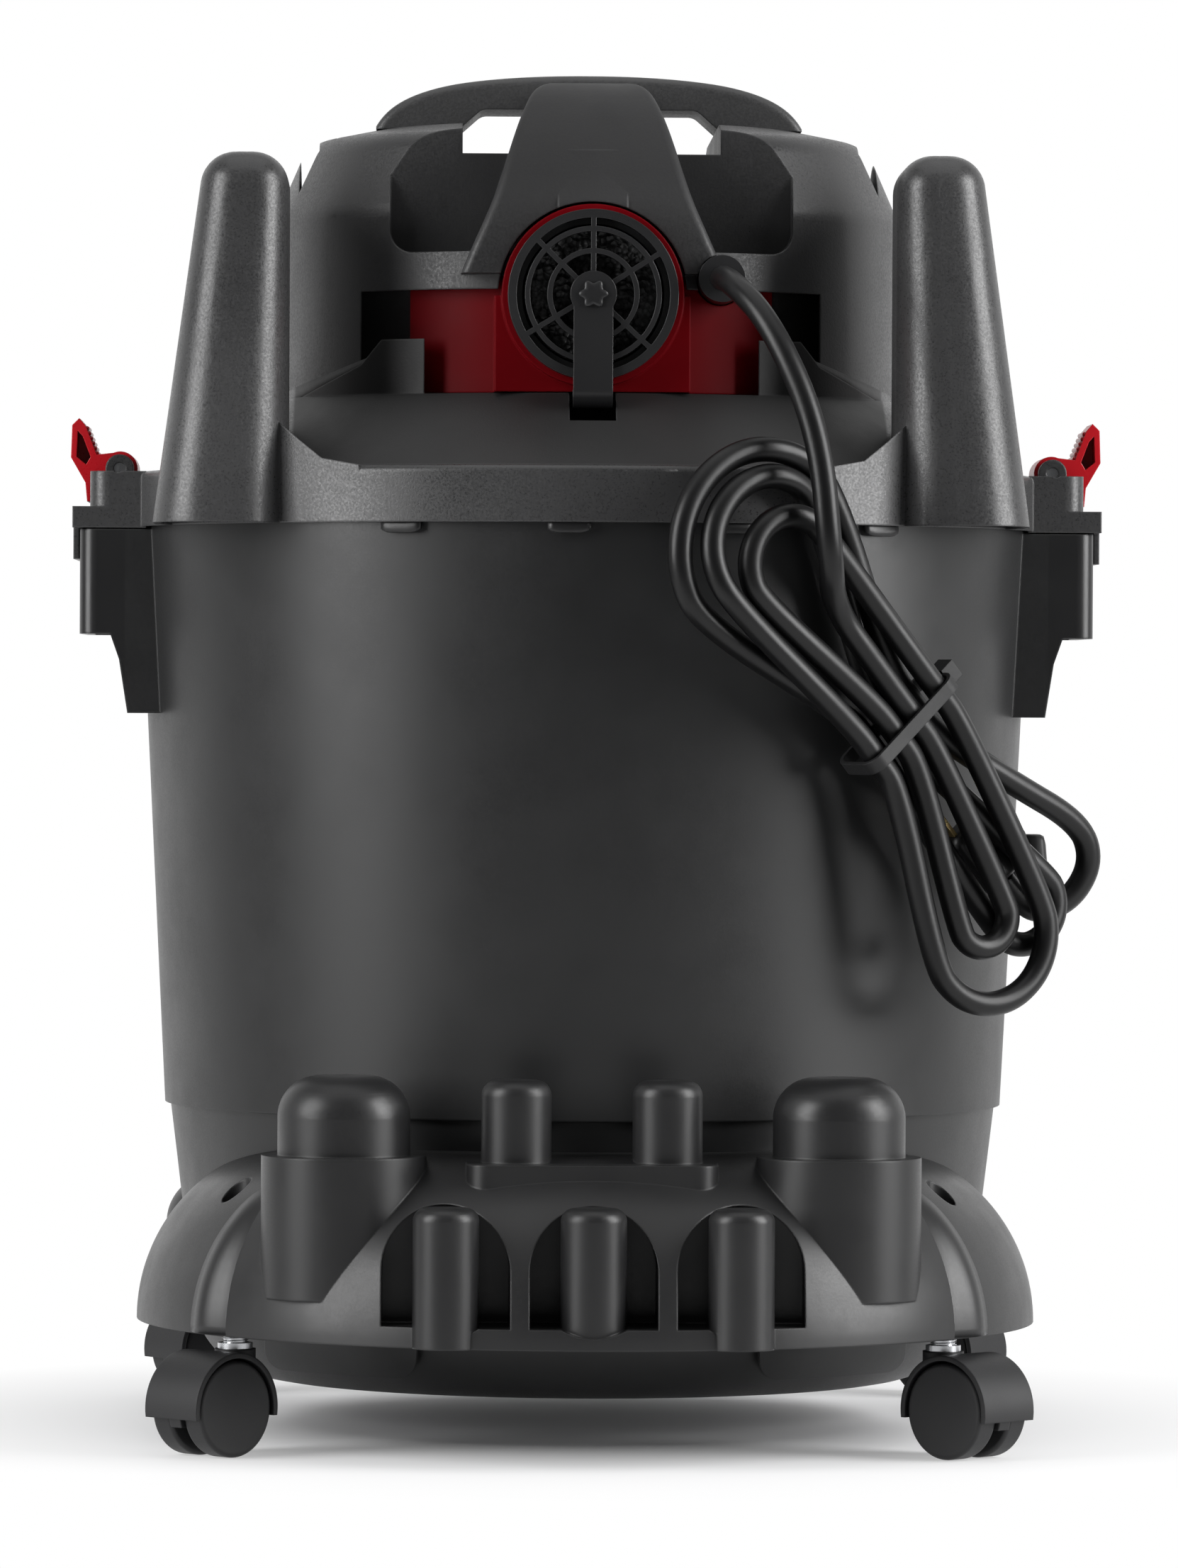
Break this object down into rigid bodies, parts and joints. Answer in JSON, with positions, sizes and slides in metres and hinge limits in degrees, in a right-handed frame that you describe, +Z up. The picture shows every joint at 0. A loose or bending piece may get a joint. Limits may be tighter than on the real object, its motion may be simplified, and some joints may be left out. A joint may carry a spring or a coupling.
{
  "type": "shop vacuum",
  "caption": "Wheeled wet and dry shop vacuum: open tank on swivel casters, lift-off motor head with carry handle, side latches, rear exhaust port, rear tool caddy and hung mains cord.",
  "frame": {"origin": "middle of the floor area under the machine, at the bottom of the wheels", "axes": "+Z up, -Y towards the back with the exhaust port and tool caddy, +Y towards the hose inlet, +X towards the side with the cord"},
  "size_m": [0.3683, 0.426, 0.4788],
  "materials": {
    "tank_plastic": "matte moulded, dark charcoal",
    "lid_plastic": "fine-grained, dark grey",
    "cover_plastic": "fine-grained, black",
    "red_plastic": "glossy red",
    "black_plastic": "satin black",
    "caster_plastic": "matte black",
    "steel": "bright zinc",
    "motor_steel": "plain",
    "seal_rubber": "soft",
    "foam": "open-cell foam",
    "filter_paper": "pleated paper",
    "cord_jacket": "satin",
    "blade_brass": "plain"
  },
  "bodies": {
    "tank": {"tank": "tank_plastic", "hose_inlet": "black_plastic", "tool_caddy": "black_plastic", "caddy_screws": "steel", "foot_left": "black_plastic", "foot_right": "black_plastic"},
    "head": {"lid": "lid_plastic", "lid_seal": "seal_rubber", "latch_pins": "steel", "motor_cover": "cover_plastic", "handle": "cover_plastic", "switch_body": "cover_plastic", "blower_housing": "red_plastic", "cord_gland": "black_plastic", "motor_can": "motor_steel", "motor_bearings": "steel", "filter_cage": "black_plastic", "cord": "cord_jacket", "cord_hank": "cord_jacket", "plug": "cord_jacket", "plug_blades": "blade_brass", "cable_tie": "black_plastic"},
    "latch_right": {"latch_right": "red_plastic"},
    "latch_left": {"latch_left": "red_plastic"},
    "rotor": {"motor_shaft": "steel", "motor_armature": "motor_steel", "fan": "black_plastic"},
    "float": {"float_ball": "black_plastic"},
    "filter": {"filter_media": "filter_paper", "filter_head": "black_plastic", "filter_base": "black_plastic"},
    "exhaust_cap": {"port_diffuser": "cover_plastic", "port_foam": "foam", "port_tether": "cover_plastic"},
    "rocker": {"switch_rocker": "cover_plastic"},
    "caster_rl": {"caster_hood_rl": "caster_plastic", "caster_stem_rl": "steel"},
    "wheels_rl": {"caster_wheels_rl": "caster_plastic", "caster_axle_rl": "steel"},
    "caster_rr": {"caster_hood_rr": "caster_plastic", "caster_stem_rr": "steel"},
    "wheels_rr": {"caster_wheels_rr": "caster_plastic", "caster_axle_rr": "steel"},
    "caster_fl": {"caster_hood_fl": "caster_plastic", "caster_stem_fl": "steel"},
    "wheels_fl": {"caster_wheels_fl": "caster_plastic", "caster_axle_fl": "steel"},
    "caster_fr": {"caster_hood_fr": "caster_plastic", "caster_stem_fr": "steel"},
    "wheels_fr": {"caster_wheels_fr": "caster_plastic", "caster_axle_fr": "steel"}
  },
  "joints": [
    {"name": "head_lift", "type": "slide", "parent": "tank", "child": "head", "axis": [0, 0, 1], "range_m": [0, 0.35]},
    {"name": "latch_right_hinge", "type": "hinge", "parent": "head", "child": "latch_right", "pos_m": [0.1662, 0.013, 0.339], "axis": [0, -1, 0], "range_deg": [0, 70]},
    {"name": "latch_left_hinge", "type": "hinge", "parent": "head", "child": "latch_left", "pos_m": [-0.1662, 0.013, 0.339], "axis": [0, 1, 0], "range_deg": [0, 70]},
    {"name": "rotor_spin", "type": "hinge", "parent": "head", "child": "rotor", "pos_m": [0, 0.013, 0.4], "axis": [0, 0, 1], "continuous": true},
    {"name": "float_rise", "type": "slide", "parent": "head", "child": "float", "axis": [0, 0, 1], "range_m": [0, 0.07]},
    {"name": "filter_pull", "type": "slide", "parent": "head", "child": "filter", "axis": [0, 0, -1], "range_m": [0, 0.13]},
    {"name": "exhaust_cap_pull", "type": "slide", "parent": "head", "child": "exhaust_cap", "axis": [0, -1, 0], "range_m": [0, 0.04]},
    {"name": "rocker_tilt", "type": "hinge", "parent": "head", "child": "rocker", "pos_m": [0, 0.123, 0.413], "axis": [1, 0, 0], "range_deg": [-9, 9]},
    {"name": "swivel_rl", "type": "hinge", "parent": "tank", "child": "caster_rl", "pos_m": [-0.1208, -0.137, 0.036], "axis": [0, 0, 1], "continuous": true},
    {"name": "roll_rl", "type": "hinge", "parent": "caster_rl", "child": "wheels_rl", "pos_m": [-0.12858, -0.14478, 0.0165], "axis": [0.7071, -0.7071, 0], "continuous": true},
    {"name": "swivel_rr", "type": "hinge", "parent": "tank", "child": "caster_rr", "pos_m": [0.1208, -0.137, 0.036], "axis": [0, 0, 1], "continuous": true},
    {"name": "roll_rr", "type": "hinge", "parent": "caster_rr", "child": "wheels_rr", "pos_m": [0.12858, -0.14478, 0.0165], "axis": [0.7071, 0.7071, 0], "continuous": true},
    {"name": "swivel_fl", "type": "hinge", "parent": "tank", "child": "caster_fl", "pos_m": [-0.128, 0.121, 0.036], "axis": [0, 0, 1], "continuous": true},
    {"name": "roll_fl", "type": "hinge", "parent": "caster_fl", "child": "wheels_fl", "pos_m": [-0.13701, 0.11469, 0.0165], "axis": [0.5736, -0.8192, 0], "continuous": true},
    {"name": "swivel_fr", "type": "hinge", "parent": "tank", "child": "caster_fr", "pos_m": [0.128, 0.121, 0.036], "axis": [0, 0, 1], "continuous": true},
    {"name": "roll_fr", "type": "hinge", "parent": "caster_fr", "child": "wheels_fr", "pos_m": [0.13701, 0.11469, 0.0165], "axis": [0.5736, 0.8192, 0], "continuous": true}
  ]
}
